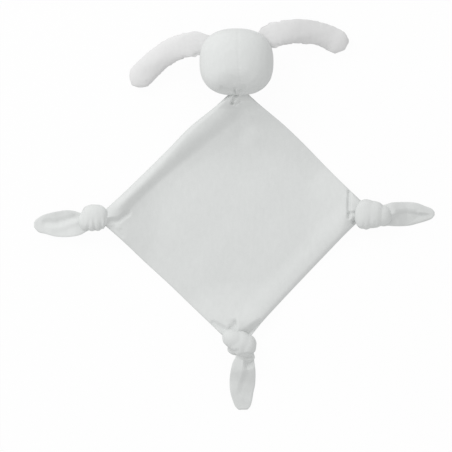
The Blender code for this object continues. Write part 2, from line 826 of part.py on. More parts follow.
def main():
    for old in list(bpy.data.objects):
        bpy.data.objects.remove(old)

    head_clearance = head_solid("head_clearance", HINGED_SEAT_GAP)
    head = make_head()

    ears = [
        Ear("left", LEFT_EAR_ROOT, *LEFT_EAR_HEADINGS, left_ear_bend_share),
        Ear("right", RIGHT_EAR_ROOT, *RIGHT_EAR_HEADINGS, right_ear_bend_share),
    ]
    ear_pieces = {ear.side: make_ear(ear, head_clearance) for ear in ears}

    knots = {}
    tails = {}
    knot_clearances = {}
    for corner in tied_corners():
        knots[corner.name] = knot_solid(f"knot_{corner.name}", corner, 0.0)
        cut_flat(knots[corner.name])
        knot_clearances[corner.name] = knot_solid("knot_clearance", corner, HINGED_SEAT_GAP)
        tails[corner.name] = tail_solid(corner, knot_clearances[corner.name])

    blanket = make_blanket(head_clearance, knot_clearances)
    thread = make_neck_thread()
    for clearance in [head_clearance, *knot_clearances.values()]:
        drop(clearance)

    base = make_joint("body_blanket", (0, 0, 0))
    carry(base, [blanket["top"][0], blanket["under"][0]])
    thread.parent = base

    fold_height = 2 * CLOTH_THICKNESS + SEAT_GAP
    fold = make_joint("joint_fold", (0, -FOLD_DROP, fold_height), base)
    carry(fold, [blanket["top"][1], blanket["under"][1]])

    neck = make_joint("joint_neck", neck_hinge(), base)
    carry(neck, head)
    for ear in ears:
        carry(make_joint(f"joint_ear_{ear.side}", ear.hinge, neck), ear_pieces[ear.side])

    for corner in tied_corners():
        carrier = fold if corner.name == "bottom" else base
        knot_joint = make_joint(f"joint_knot_{corner.name}", corner.cloth_hinge(), carrier)
        carry(knot_joint, [knots[corner.name]])
        tail_joint = make_joint(f"joint_tail_{corner.name}", corner.tail_hinge(), knot_joint)
        carry(tail_joint, [tails[corner.name]])


main()
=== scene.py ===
# %% [markdown]
# # A comfort blanket with a stuffed head
# This lesson dresses the solids of a baby's comfort blanket: a square of double velour, a stuffed
# head with two long ears at one corner, and three corners tied in knots. The solids are the fixed
# frame. Each piece is worked out in millimetres where its solid lies; the knots and the head move
# with their bodies.

# %% Load the frame
import math

import bmesh
import bpy
import numpy as np
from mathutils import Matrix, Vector


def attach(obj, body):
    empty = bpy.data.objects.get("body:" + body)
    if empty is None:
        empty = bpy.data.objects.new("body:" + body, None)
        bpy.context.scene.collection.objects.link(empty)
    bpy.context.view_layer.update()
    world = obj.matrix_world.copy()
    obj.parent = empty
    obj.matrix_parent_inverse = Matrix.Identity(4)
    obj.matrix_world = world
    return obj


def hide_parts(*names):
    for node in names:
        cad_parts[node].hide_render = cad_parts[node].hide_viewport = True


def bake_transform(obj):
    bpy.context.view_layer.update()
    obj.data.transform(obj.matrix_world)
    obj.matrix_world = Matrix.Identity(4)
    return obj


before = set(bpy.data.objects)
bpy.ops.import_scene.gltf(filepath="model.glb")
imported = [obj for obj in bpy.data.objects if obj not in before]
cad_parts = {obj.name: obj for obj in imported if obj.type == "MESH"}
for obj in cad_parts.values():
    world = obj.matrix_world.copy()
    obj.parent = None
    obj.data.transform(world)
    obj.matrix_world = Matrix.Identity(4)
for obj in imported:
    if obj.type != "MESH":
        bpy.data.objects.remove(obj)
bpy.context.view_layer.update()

MM = 0.001
FAR = 1e9
SCENE = bpy.context.scene

# %% [markdown]
# ## The camera
# The toy was photographed from straight above and far away, so the knots show no side. A camera
# without perspective gives the same picture: one millimetre is one pixel.

# %% Helpers for objects and nodes
def add_object(name, data):
    thing = bpy.data.objects.new(name, data)
    SCENE.collection.objects.link(thing)
    return thing


def set_inputs(node, values):
    for key, value in values.items():
        node.inputs[key].default_value = value
    return node


def add_node(nodes, kind, values):
    return set_inputs(nodes.new(kind), values)


def wire(links, *rows):
    """Links nodes: each row is a node, its output, another node and its input."""
    for source, output, target, entry in rows:
        links.new(source.outputs[output], target.inputs[entry])


# %% Camera
PICTURE_SIZE = 452
ORIGIN = (234.0, 214.0)
CAMERA_HEIGHT = 1.6


def picture(x, y):
    """World place, in millimetres, of a pixel of the photograph."""
    return x - ORIGIN[0], ORIGIN[1] - y


camera_data = bpy.data.cameras.new("camera")
camera_data.type = "ORTHO"
camera_data.ortho_scale = PICTURE_SIZE * MM
camera_data.clip_end = 10.0
camera = add_object("camera", camera_data)
middle = picture(PICTURE_SIZE / 2, PICTURE_SIZE / 2)
camera.location = (middle[0] * MM, middle[1] * MM, CAMERA_HEIGHT)
SCENE.camera = camera
print("Camera over", [round(c, 3) for c in camera.location])

# %% [markdown]
# ## Light and floor
# White cloth on a white ground shows its shape only through soft shade. One wide lamp stands at the
# upper left, and an even sky fills the rest. The floor is grey-white to the light, so that it
# doesn't flood the cloth's sides, and nearly white to the camera, with the toy's shadow in it.

# %% Lights
LAMP_DIRECTION = Vector((-0.54, 0.57, 0.62)).normalized()
LAMP_DISTANCE, LAMP_SIZE, LAMP_POWER = 2.0, 1.1, 15.0
SKY_STRENGTH = 0.78
WHITE = (1.0, 1.0, 1.0, 1.0)

lamp_data = bpy.data.lights.new("window_light", "AREA")
lamp_data.shape = "DISK"
lamp_data.size = LAMP_SIZE
lamp_data.energy = LAMP_POWER
lamp = add_object("window_light", lamp_data)
lamp.location = LAMP_DIRECTION * LAMP_DISTANCE
lamp.rotation_euler = (-lamp.location).to_track_quat("-Z", "Y").to_euler()

world = bpy.data.worlds.new("even_sky")
world.use_nodes = True
set_inputs(world.node_tree.nodes["Background"], {"Color": WHITE, "Strength": SKY_STRENGTH})
SCENE.world = world
SCENE.view_settings.view_transform = "Standard"
print("Lamp at", [round(c, 3) for c in lamp.location])

# %% Floor
FLOOR_REACH, FLOOR_GREY, FLOOR_GLOW = 3.0, 0.80, 0.96


def new_material(name):
    """A material, its nodes and its links."""
    material = bpy.data.materials.new(name)
    material.use_nodes = True
    return material, material.node_tree.nodes, material.node_tree.links


def make_floor():
    far = FLOOR_REACH
    corners = [(-far, -far, 0), (far, -far, 0), (far, far, 0), (-far, far, 0)]
    mesh = bpy.data.meshes.new("floor")
    mesh.from_pydata(corners, [], [(0, 1, 2, 3)])
    material, nodes, links = new_material("studio_floor")
    nodes.clear()
    grey = (FLOOR_GREY, FLOOR_GREY, FLOOR_GREY, 1)
    diffuse = add_node(nodes, "ShaderNodeBsdfDiffuse", {"Color": grey})
    glow = add_node(nodes, "ShaderNodeEmission", {"Color": WHITE})
    path = nodes.new("ShaderNodeLightPath")
    share = add_node(nodes, "ShaderNodeMath", {1: FLOOR_GLOW})
    share.operation = "MULTIPLY"
    mix = nodes.new("ShaderNodeMixShader")
    out = nodes.new("ShaderNodeOutputMaterial")
    wire(
        links, (path, "Is Camera Ray", share, 0), (share, 0, mix, "Fac"),
        (diffuse, 0, mix, 1), (glow, 0, mix, 2), (mix, 0, out, "Surface"),
    )
    mesh.materials.append(material)
    add_object("floor", mesh)


make_floor()

# %% [markdown]
# ## Velour
# Velour is a jersey with a short, brushed pile: an even, matt white with a soft sheen at the edges
# of each form. Close up, the pile lies in brushed patches, and the jersey's fine wales show. Noise
# at two sizes gives the patches, a stretched noise the wales, and a small bump follows both.


# %% Velour material
def linear(grey, tint):
    """A light colour from screen values of up to 255, as the shader wants it."""
    return (*((((grey + part) / 255 + 0.055) / 1.055) ** 2.4 for part in tint), 1.0)


def noise(nodes, links, place, scale, detail, stretch=(1, 1, 1)):
    mapping = add_node(nodes, "ShaderNodeMapping", {"Scale": stretch})
    texture = add_node(nodes, "ShaderNodeTexNoise", {"Scale": scale, "Detail": detail})
    links.new(place, mapping.inputs["Vector"])
    links.new(mapping.outputs["Vector"], texture.inputs["Vector"])
    return texture.outputs["Fac"]


def greys(nodes, links, value, edge, grey, spread, tint):
    """Greys within a spread, as the value goes from the edge to as far from 1."""
    node = nodes.new("ShaderNodeValToRGB")
    for element, at, shade in zip(
        node.color_ramp.elements, (edge, 1 - edge), (grey - spread, grey + spread)
    ):
        element.position = at
        element.color = linear(shade, tint)
    links.new(value, node.inputs["Fac"])
    return node.outputs["Color"]


def make_velour(name, grey, tint):
    material, nodes, links = new_material(name)
    shader = set_inputs(nodes["Principled BSDF"], {
        "Roughness": 0.92, "Sheen Weight": 0.22, "Sheen Roughness": 0.45,
        "Specular IOR Level": 0.18,
    })
    place = nodes.new("ShaderNodeTexCoord").outputs["Object"]
    patches = noise(nodes, links, place, 38, 3.0)
    brushed = noise(nodes, links, place, 260, 3.0, (1, 0.45, 1))
    nap = noise(nodes, links, place, 1500, 3.0)
    wales = noise(nodes, links, place, 900, 1.0, (1, 0.12, 1))
    mix = add_node(nodes, "ShaderNodeMix", {0: 0.5})
    mix.data_type = "RGBA"
    links.new(greys(nodes, links, patches, 0.3, grey, 1.6, tint), mix.inputs[6])
    links.new(greys(nodes, links, brushed, 0.25, grey, 3.5, tint), mix.inputs[7])
    heights = add_node(nodes, "ShaderNodeMath", {1: 0.35})
    heights.operation = "MULTIPLY_ADD"
    links.new(wales, heights.inputs[0])
    links.new(nap, heights.inputs[2])
    relief = add_node(nodes, "ShaderNodeBump", {"Strength": 0.35, "Distance": 0.0005})
    wire(
        links, (mix, 2, shader, "Base Color"), (heights, 0, relief, "Height"),
        (relief, "Normal", shader, "Normal"),
    )
    return material


COOL = (-1.0, 1.0, 0.0)
CLOTH = make_velour("velour_cloth", 217, COOL)
HEAD_CLOTH = make_velour("velour_head", 216, COOL)
EAR_CLOTH = make_velour("velour_ears", 220, (0.0, 0.0, 0.0))
print("Velours:", CLOTH.name, HEAD_CLOTH.name, EAR_CLOTH.name)


# %% Thread material
def make_thread_material():
    material, nodes, links = new_material("sewing_thread")
    shader = set_inputs(nodes["Principled BSDF"], {"Roughness": 0.55})
    place = nodes.new("ShaderNodeTexCoord").outputs["Object"]
    plies = greys(nodes, links, noise(nodes, links, place, 2600, 1.0), 0.3, 213, 13, (0, 0, -2))
    links.new(plies, shader.inputs["Base Color"])
    return material


THREAD = make_thread_material()
print("Thread:", THREAD.name)

# %% [markdown]
# ## Helpers for soft shapes
# Every form here is a field of heights or rings, worked out with numpy. Two curves do most of the
# work: one eases from 1 to 0, and one is a hump that is 1 in its middle.


# %% Curves
def unit(value):
    return np.clip(value, 0, 1)


def ease(value):
    value = unit(value)
    return (1 - value) ** 2 * (1 + 2 * value)


def bump(value):
    return ease(np.abs(value))


def signed_power(value, exponent):
    return np.sign(value) * np.abs(value) ** exponent


def segment(x, y, start, end):
    """Distance of points from a stretch, and how far along it they lie, 0 to 1."""
    ax, ay = start
    dx, dy = end[0] - ax, end[1] - ay
    along = unit(((x - ax) * dx + (y - ay) * dy) / (dx * dx + dy * dy))
    return np.hypot(x - ax - along * dx, y - ay - along * dy), along


def crease(x, y, places, width, depth, fading=False):
    """A groove through places of the photograph. If fading, it starts at nothing."""
    points = [picture(*place) for place in places]
    stretches = zip(points, points[1:])
    nearest = np.minimum.reduce([segment(x, y, start, end)[0] for start, end in stretches])
    strength = segment(x, y, points[0], points[-1])[1] if fading else 1.0
    return -depth * strength * bump(nearest / width)


def lap(x, y, start, end, width, depth, wall):
    """Cloth that sinks towards a line from its left side and stands up again close past it."""
    start, end = np.array(picture(*start)), np.array(picture(*end))
    length = np.linalg.norm(end - start)
    way = (end - start) / length
    along = (x - start[0]) * way[0] + (y - start[1]) * way[1]
    off = (y - start[1]) * way[0] - (x - start[0]) * way[1]
    past_end = np.maximum(np.maximum(-along, along - length), 0)
    sunk = np.where(off > 0, ease(off / width), ease(-off / wall))
    return -depth * sunk * ease(past_end / 5.0)


def through(values, shares):
    """A smooth curve through given values, spaced evenly, read at shares of 0 to 1."""
    values = np.asarray(values, float)
    count = len(values) - 1
    at = unit(np.asarray(shares, float)) * count
    k = np.minimum(at.astype(int), count - 1)
    t = (at - k)[..., None] if values.ndim > 1 else at - k
    padded = np.concatenate([[2 * values[0] - values[1]], values, [2 * values[-1] - values[-2]]])
    a, b, c, d = (padded[k + i] for i in range(4))
    return b + 0.5 * t * (c - a + t * (2 * a - 5 * b + 4 * c - d + t * (3 * (b - c) + d - a)))


# %% Meshes
def add_mesh(name, points, faces, material):
    mesh = bpy.data.meshes.new(name)
    mesh.from_pydata(np.asarray(points).tolist(), [], [[int(k) for k in face] for face in faces])
    mesh.validate()
    shape = bmesh.new()
    shape.from_mesh(mesh)
    bmesh.ops.remove_doubles(shape, verts=shape.verts, dist=1e-6)
    bmesh.ops.recalc_face_normals(shape, faces=shape.faces)
    shape.to_mesh(mesh)
    shape.free()
    mesh.shade_smooth()
    mesh.materials.append(material)
    return add_object(name, mesh)


def two_sided(name, outer, inner, material):
    """A closed piece between two grids of points in millimetres, with the same rows and columns."""
    rows, columns = outer.shape[:2]
    index = np.arange(rows * columns).reshape(rows, columns)
    below = rows * columns
    faces = []
    for grid, turn in ((index, 1), (index + below, -1)):
        quads = np.stack([grid[:-1, :-1], grid[:-1, 1:], grid[1:, 1:], grid[1:, :-1]], -1)
        faces += [quad[::turn] for quad in quads.reshape(-1, 4)]
    rim = np.concatenate([index[0], index[1:, -1], index[-1, -2::-1], index[-2:0:-1, 0]])
    for a, b in zip(rim, np.roll(rim, -1)):
        faces.append((b, a, a + below, b + below))
    points = np.concatenate([outer.reshape(-1, 3), inner.reshape(-1, 3)]) * MM
    return add_mesh(name, points, faces, material)


def triples(items, key):
    flat = np.empty(len(items) * 3)
    items.foreach_get(key, flat)
    return flat.reshape(-1, 3)


def points_of(piece):
    return triples(piece.data.vertices, "co") / MM


def normals_of(piece):
    return triples(piece.data.vertex_normals, "vector")


def set_points(piece, points):
    piece.data.vertices.foreach_set("co", (points * MM).ravel())
    piece.data.update()


def settle(piece, points, floor):
    """Gives a piece its points, none of them below a height over the floor."""
    points[:, 2] = np.maximum(points[:, 2], floor)
    set_points(piece, points)


# %% [markdown]
# ## The cloth square
# The blanket is two layers of velour, sewn together along their edges and turned. It lies on its
# corner, and one edge has rolled up on itself. The cloth climbs to the back of the head and bunches
# where each corner is tied. A grid of points takes its height from a few rules, so each fold has
# one line and can be moved alone.

# %% Places of the square, in millimetres
TOP, RIGHT = np.array((5.0, 131.0)), np.array((136.0, 4.0))
BOTTOM, LEFT = np.array((5.0, -134.0)), np.array((-136.0, -4.0))
CLOTH_THICKNESS = 1.2
CLEARANCE, HEAD_CLEARANCE = 0.25, 0.3
LAYER_GAP = 0.3
NECK_Y = 117.25
NECK_RISE = 20.0
KNOT_MIDDLE = 11.0
KNOTS = {
    "left": {"centre": (-140.0, -4.0), "out": (-1.0, 0.0), "size": (28.0, 28.0)},
    "right": {"centre": (138.0, 0.5), "out": (1.0, 0.0), "size": (26.5, 30.0)},
    "bottom": {"centre": (5.0, -134.3), "out": (0.0, -1.0), "size": (26.5, 35.0)},
}
# How far each edge bows out, at even steps from its upper corner to its lower one.
BULGES = {
    "upper_left": (-1.0, -0.6, 2.2, 1.2, 0.6, 0.5, 1.4),
    "upper_right": (-2.0, -1.0, 1.2, 1.4, 0.4, 0.2, 0.8),
    "lower_right": (0.6, -1.2, -1.5, -1.6, -1.5, -0.8, 2.6),
    "lower_left": (1.2, 0.2, 0.6, 0.5, 1.2, 1.8, 2.6),
}
BULGE_REACH = 30.0


def edge_distance(x, y, start, end, bulges):
    """How far inside an edge points lie, when it bows out by its bulges."""
    length = np.linalg.norm(end - start)
    along = (end - start) / length
    straight = (x - start[0]) * along[1] - (y - start[1]) * along[0]
    share = ((x - start[0]) * along[0] + (y - start[1]) * along[1]) / length
    return straight + through(bulges, share) * ease(straight / BULGE_REACH)


def edges(x, y):
    """Distances inside the upper left, upper right, lower right and lower left edge."""
    return (
        edge_distance(x, y, LEFT, TOP, BULGES["upper_left"][::-1]),
        edge_distance(x, y, TOP, RIGHT, BULGES["upper_right"]),
        edge_distance(x, y, RIGHT, BOTTOM, BULGES["lower_right"]),
        edge_distance(x, y, BOTTOM, LEFT, BULGES["lower_left"][::-1]),
    )


def knot_frame(x, y, knot):
    """How far points lie inward of a knot's middle, and how far to its side."""
    out = knot["out"]
    dx, dy = knot["centre"][0] - x, knot["centre"][1] - y
    return dx * out[0] + dy * out[1], -(dy * out[0] - dx * out[1])


# %% How far the cloth stands off the floor
FLAP_LINE = ((240, 96), (242, 103), (244.5, 109), (248, 115), (252, 120), (257, 126))
HOLLOW_DEPTH, NECK_DIP, KNOT_LIFT = 4.4, 2.4, 7.0


def line_x(places, y):
    """X of a line through places of the photograph, at heights y."""
    points = np.array([picture(*place) for place in places])
    order = points[:, 1].argsort()
    return np.interp(y, points[order, 1], points[order, 0])


def cloth_rise(x, y):
    """How far the under side stands off the floor."""
    upper_left, upper_right, _, _ = edges(x, y)
    from_neck = NECK_Y - y
    rise = NECK_RISE * ease((from_neck - 4) / 96) ** 2.5 + 1.6 * ease((from_neck - 10) / 20)
    # A hollow left of the flap, a dip that the head nods into, and edges that sag.
    to_flap = line_x(FLAP_LINE, y) + 2.5 - x
    wedge = (1 - ease(to_flap / (6 + 0.5 * np.maximum(from_neck, 0)))) * ease((to_flap - 4) / 28)
    wedge = HOLLOW_DEPTH * wedge
    rise -= wedge * (1 - ease((from_neck - 3) / 17)) * ease((from_neck - 22) / 50)
    rise -= NECK_DIP * (1 - ease((from_neck - 3) / 10)) * ease((from_neck - 16) / 34)
    near_edge = ease(np.minimum(upper_left, upper_right) / 19)
    rise *= 1 - 0.15 * near_edge * (1 - ease(from_neck / 60))
    for knot in KNOTS.values():
        inward, aside = knot_frame(x, y, knot)
        past = np.maximum(inward - knot["size"][0] / 2 - 9.0, 0)
        beside = np.maximum(np.abs(aside) - knot["size"][1] / 2, 0)
        rise = np.hypot(rise, KNOT_LIFT * ease(np.hypot(past, beside) / 46))
    return np.maximum(rise, 0)


def pleats(x, y):
    """Small folds that run out from each knot."""
    height = 0.0
    for knot, count, phase in zip(KNOTS.values(), (8, 9, 8), (0.4, 1.3, 2.2)):
        inward, aside = knot_frame(x, y, knot)
        away = np.hypot(inward, aside)
        turn = np.arctan2(aside, inward)
        strength = ease((away - knot["size"][0] / 2 - 3) / 22)
        height += 0.55 * strength * np.sin(count * turn + phase + 0.05 * away)
    return height


# %% Outer surface of the top layer
ROLL_HEIGHT, NECK_ROLL_LOSS, RIGHT_ROLL_HEIGHT, RIM = 7.6, 2.8, 2.7, 2.6


def top_height(x, y):
    sides = edges(x, y)
    nearest = np.minimum.reduce(sides)
    upper_left, upper_right, lower_right, lower_left = sides
    seam = cloth_rise(x, y) + CLOTH_THICKNESS + LAYER_GAP / 2
    field = CLOTH_THICKNESS + LAYER_GAP / 2 + 1.2 * (1 - ease(nearest / 16))
    near_end = np.minimum.reduce([
        np.hypot(*knot_frame(x, y, knot)) - knot["size"][0] / 2 for knot in KNOTS.values()
    ])
    open_share = 1 - 0.40 * ease(near_end / 26)
    # The rolled edge, lower where the head nods, and the cloth beside the flap.
    to_neck = ease((NECK_Y - y) / 95)
    crest = 6.2 - 1.6 * to_neck
    fall = 11.0 + 13.0 * to_neck
    past = np.maximum(upper_left - crest, 0) / fall
    hump = 0.78 * ease(past) + 0.22 * ease(past / 2.0)
    by_neck = ease((NECK_Y - y - 10) / 34)
    field += (ROLL_HEIGHT + 0.8 * to_neck - NECK_ROLL_LOSS * by_neck) * hump * open_share
    left_of_flap = 1 - ease((line_x(FLAP_LINE, y) - x) / 6)
    field += (0.4 + 2.0 * left_of_flap) * ease((NECK_Y + 1 - y) / 14)
    field += 2.0 * ease((near_end - 4) / 30)
    # The fuller edge at the lower right, and the round rim along every edge.
    crest_right = 5.0 + 8.0 * ease((near_end - 2) / 26)
    hump = np.where(lower_right < crest_right, 1, ease((lower_right - crest_right) / 24))
    field += RIGHT_ROLL_HEIGHT * hump * open_share
    rim = 1.0
    near_neck = 1 - 0.20 * ease((NECK_Y - y) / 26)
    for distance, width in (
        (upper_left, crest * near_neck), (upper_right, RIM * near_neck),
        (lower_right, crest_right + 0.6), (lower_left, RIM),
    ):
        t = unit(distance / width)
        rim *= np.sqrt(unit(1 - (1 - t) ** 2))
    height = field * rim + pleats(x, y) * np.minimum(rim, 1)
    waves = 0.28 * np.sin(x / 17 + 0.6 * np.sin(y / 23)) * np.sin(y / 21 + 1.1)
    height = height + (waves + 0.15 * np.sin(x / 9 - y / 12)) * (1 - ease(nearest / 14))
    return seam + height


# %% Creases that the photograph shows one by one
# Each row is a rule, places of the photograph, and a width and depth in millimetres.
CREASES = (
    (crease, [(128, 213), (119, 220), (109, 221)], 4.4, 2.3),
    (crease, [(112, 228), (122, 236)], 3.5, 0.6),
    (crease, [(118, 227), (119, 227.5)], 4.0, -0.8),
    (crease, [(349.4, 192), (348.8, 205), (349, 217)], 3.2, 2.6),
    (crease, [(350, 213.4), (359.5, 212.6)], 3.0, 2.2),
    (crease, [(358, 226.4), (354.6, 222)], 4.4, 3.0),
    (crease, [(213.8, 324), (223.4, 329)], 5.0, 2.4),
    (lap, (236.5, 335), (236, 322.5), 10, 2.6, 1.4),
    (crease, [(235, 325), (228, 331.5)], 5.0, 1.4),
    (lap, (243.5, 337.5), (261, 326), 9.0, 3.6, 3.0),
    (crease, [(236.5, 92), (235, 97), (232, 103)], 2.6, 2.8),
    (crease, [(232, 103), (236, 104.5), (239.5, 102)], 2.4, 1.8),
)


def top_creases(x, y):
    return sum(rule(x, y, *shape) for rule, *shape in CREASES)


# %% [markdown]
# The layers' edges meet at the seam, half way up. The top layer curves down to it and the under
# layer up to it, which gives the turned edge its round look. Both end just inside the knots and
# the head.

# %% Build the two layers
CROWDING, UNDER_RIM = 0.72, 3.2
HALF_GAP, THIN = 0.04, 0.30


def crowded(count):
    """Shares of 0 to 1 that lie closer together near both ends."""
    t = np.linspace(0, 1, count)
    return t - CROWDING * np.sin(2 * np.pi * t) / (2 * np.pi)


def square_places(count):
    """A grid over the square: u runs along the upper right edge, v along the upper left."""
    u, v = np.meshgrid(crowded(count), crowded(count), indexing="ij")
    u, v = u[..., None], v[..., None]
    place = (1 - u) * (1 - v) * TOP + u * (1 - v) * RIGHT + (1 - u) * v * LEFT + u * v * BOTTOM
    diagonal = math.sqrt(0.5)
    for name, away, along, out in (
        ("upper_left", u, v, (-diagonal, diagonal)),
        ("upper_right", v, u, (diagonal, diagonal)),
        ("lower_right", 1 - u, v, (diagonal, -diagonal)),
        ("lower_left", 1 - v, u, (-diagonal, -diagonal)),
    ):
        amount = through(BULGES[name], along[..., 0])
        place = place + (amount * ease(away[..., 0] / 0.16))[..., None] * np.array(out)
    return place


def pull_back(place):
    """Ends the cloth's corners just inside the knots and the head."""
    for knot in KNOTS.values():
        inward, _ = knot_frame(place[..., 0], place[..., 1], knot)
        too_far = np.maximum(knot["size"][0] / 2 - 3.5 - inward, 0)
        place = place - too_far[..., None] * np.array(knot["out"])
    place[..., 1] = np.minimum(place[..., 1], NECK_Y + 6.0)
    return place


def make_layer(name, count, top):
    flat = square_places(count)
    x, y = flat[..., 0], flat[..., 1]
    seam = cloth_rise(x, y) + CLOTH_THICKNESS + LAYER_GAP / 2
    nearest = np.minimum.reduce(edges(x, y))
    place = pull_back(flat.copy())
    if top:
        outer = top_height(x, y) + top_creases(x, y) * (1 - ease(nearest / 1.5))
        outer = np.maximum(outer, seam + HALF_GAP + THIN)
        inner = np.minimum(outer - THIN, np.maximum(seam + HALF_GAP, outer - CLOTH_THICKNESS))
    else:
        t = unit(nearest / UNDER_RIM)
        deeper = CLOTH_THICKNESS + LAYER_GAP / 2 - HALF_GAP - THIN
        outer = seam - (HALF_GAP + THIN + deeper * np.sqrt(1 - (1 - t) ** 2))
        inner = np.maximum(outer + THIN, np.minimum(seam - HALF_GAP, outer + CLOTH_THICKNESS))
    return two_sided(name, np.dstack([place, outer]), np.dstack([place, inner]), CLOTH)


top_layer = make_layer("blanket_top_layer", 200, True)
under_layer = make_layer("blanket_under_layer", 120, False)
print("Points:", len(top_layer.data.vertices), "on top,", len(under_layer.data.vertices), "under")

# %% Cut the layers where the folds begin to gather
# The cloth bends at each tied corner and at the neck. There the square ends, and a gathered piece
# of the same two layers goes on into the knot or the head.
GATHERS = {
    "neck": {"at": (5.0, 106.0), "end": (5.0, NECK_Y), "height": NECK_RISE, "body": "head"},
    "left": {"at": (-118.5, -4.0), "end": (-126.0, -4.0)},
    "right": {"at": (110.5, 0.5), "end": (124.7, 0.5)},
    "bottom": {"at": (5.0, -103.0), "end": (5.0, -121.0)},
}
GATHERS["neck"]["out"] = (0.0, 1.0)
for name, knot in KNOTS.items():
    GATHERS[name].update(out=knot["out"], height=KNOT_MIDDLE, body=f"knot_{name}")


def keep_side(piece, at, out, outside):
    """Cuts a closed piece with an upright plane, keeps one side and closes the cut."""
    shape = bmesh.new()
    shape.from_mesh(piece.data)
    cut = bmesh.ops.bisect_plane(
        shape, geom=shape.verts[:] + shape.edges[:] + shape.faces[:], dist=1e-7,
        plane_co=(at[0] * MM, at[1] * MM, 0), plane_no=(out[0], out[1], 0),
        clear_outer=not outside, clear_inner=outside,
    )
    rim = [edge for edge in cut["geom_cut"] if isinstance(edge, bmesh.types.BMEdge)]
    bmesh.ops.triangle_fill(shape, edges=rim, use_beauty=True, use_dissolve=False)
    bmesh.ops.recalc_face_normals(shape, faces=shape.faces)
    for face in shape.faces:
        face.smooth = True
    for edge in rim:
        edge.smooth = False
    shape.to_mesh(piece.data)
    shape.free()


# %% Make the gathers
def copy_piece(piece, name):
    twin = add_object(name, piece.data.copy())
    twin.data.name = name
    return twin


def join(pieces, name):
    """One object from several, with their first material."""
    shape = bmesh.new()
    for piece in pieces:
        shape.from_mesh(piece.data)
    mesh = bpy.data.meshes.new(name)
    shape.to_mesh(mesh)
    shape.free()
    mesh.materials.append(pieces[0].data.materials[0])
    for piece in pieces:
        bpy.data.objects.remove(piece)
    return add_object(name, mesh)


layers = (top_layer, under_layer)
gathers = {}
for name, gather in GATHERS.items():
    corner_pieces = [copy_piece(layer, f"{name}_{layer.name}") for layer in layers]
    for piece in corner_pieces:
        keep_side(piece, gather["at"], gather["out"], True)
    gathers[name] = join(corner_pieces, f"cloth_gather_{name}")
for gather in GATHERS.values():
    for layer in layers:
        keep_side(layer, gather["at"], gather["out"], False)
print("Gathers:", {name: len(piece.data.vertices) for name, piece in gathers.items()})

# %% Hide the layers' solids, and fix the layers and the gathers where they lie
for piece, kind in ((top_layer, "top"), (under_layer, "under")):
    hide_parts(f"blanket_{kind}_layer_head_side", f"blanket_{kind}_layer_foot_side")
for piece in (top_layer, under_layer):
    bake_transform(piece)
for name, gather in GATHERS.items():
    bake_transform(gathers[name])

# %% [markdown]
# ## The knots
# From above, each tied corner is a few rounded masses of bunched cloth that press on each other. A
# knot's bulges are fused to one skin, and its creases are pressed in afterwards.


# %% Bulges
def capped_tube(name, rings, material):
    """A closed tube from rings of points in millimetres, drawn to a point at both ends."""
    count, around = rings.shape[:2]
    rings = rings.copy()
    rings[0], rings[-1] = rings[0].mean(0), rings[-1].mean(0)
    index = np.arange(count * around).reshape(count, around)
    side = np.roll(index, -1, 1)
    faces = np.stack([index[:-1], side[:-1], side[1:], index[1:]], -1).reshape(-1, 4)
    return add_mesh(name, rings.reshape(-1, 3) * MM, faces, material)


def bulge(middle, height, lean, sizes, square=2.3, folds=4, ridge=0.02, phase=0.0):
    """A rounded, slightly squared mass of bunched cloth with faint pleats along it."""
    centre = np.array((*picture(*middle), height))
    turn = math.radians(lean)
    t = np.linspace(0, np.pi, 41)[:, None]
    s = np.linspace(0, 2 * np.pi, 65)[None, :-1]
    girth = np.sin(t) ** (2 / square) * (1 + ridge * np.cos(folds * s + phase))
    along = -sizes[0] * signed_power(np.cos(t), 2 / square) * np.ones_like(s)
    beside = sizes[1] * girth * signed_power(np.cos(s), 2 / square)
    up = sizes[2] * girth * signed_power(np.sin(s), 2 / square)
    x = along * math.cos(turn) - beside * math.sin(turn)
    y = along * math.sin(turn) + beside * math.cos(turn)
    return centre + np.stack([x, y, up], -1)


def add_remesh(piece, voxel):
    remesh = piece.modifiers.new("even_faces", "REMESH")
    remesh.mode = "VOXEL"
    remesh.voxel_size = voxel


def fuse(pieces, name):
    """One soft skin round several closed pieces."""
    joined = join(pieces, name)
    add_remesh(joined, KNOT_VOXEL)
    soften = joined.modifiers.new("soften", "SMOOTH")
    soften.factor = 0.5
    soften.iterations = KNOT_SOFTENING
    return bake(joined)


def bake(piece):
    """Turns a piece with modifiers into a plain mesh."""
    graph = bpy.context.evaluated_depsgraph_get()
    mesh = bpy.data.meshes.new_from_object(piece.evaluated_get(graph), depsgraph=graph)
    old = piece.data
    piece.modifiers.clear()
    piece.data = mesh
    mesh.name = old.name
    bpy.data.meshes.remove(old)
    mesh.shade_smooth()
    return piece


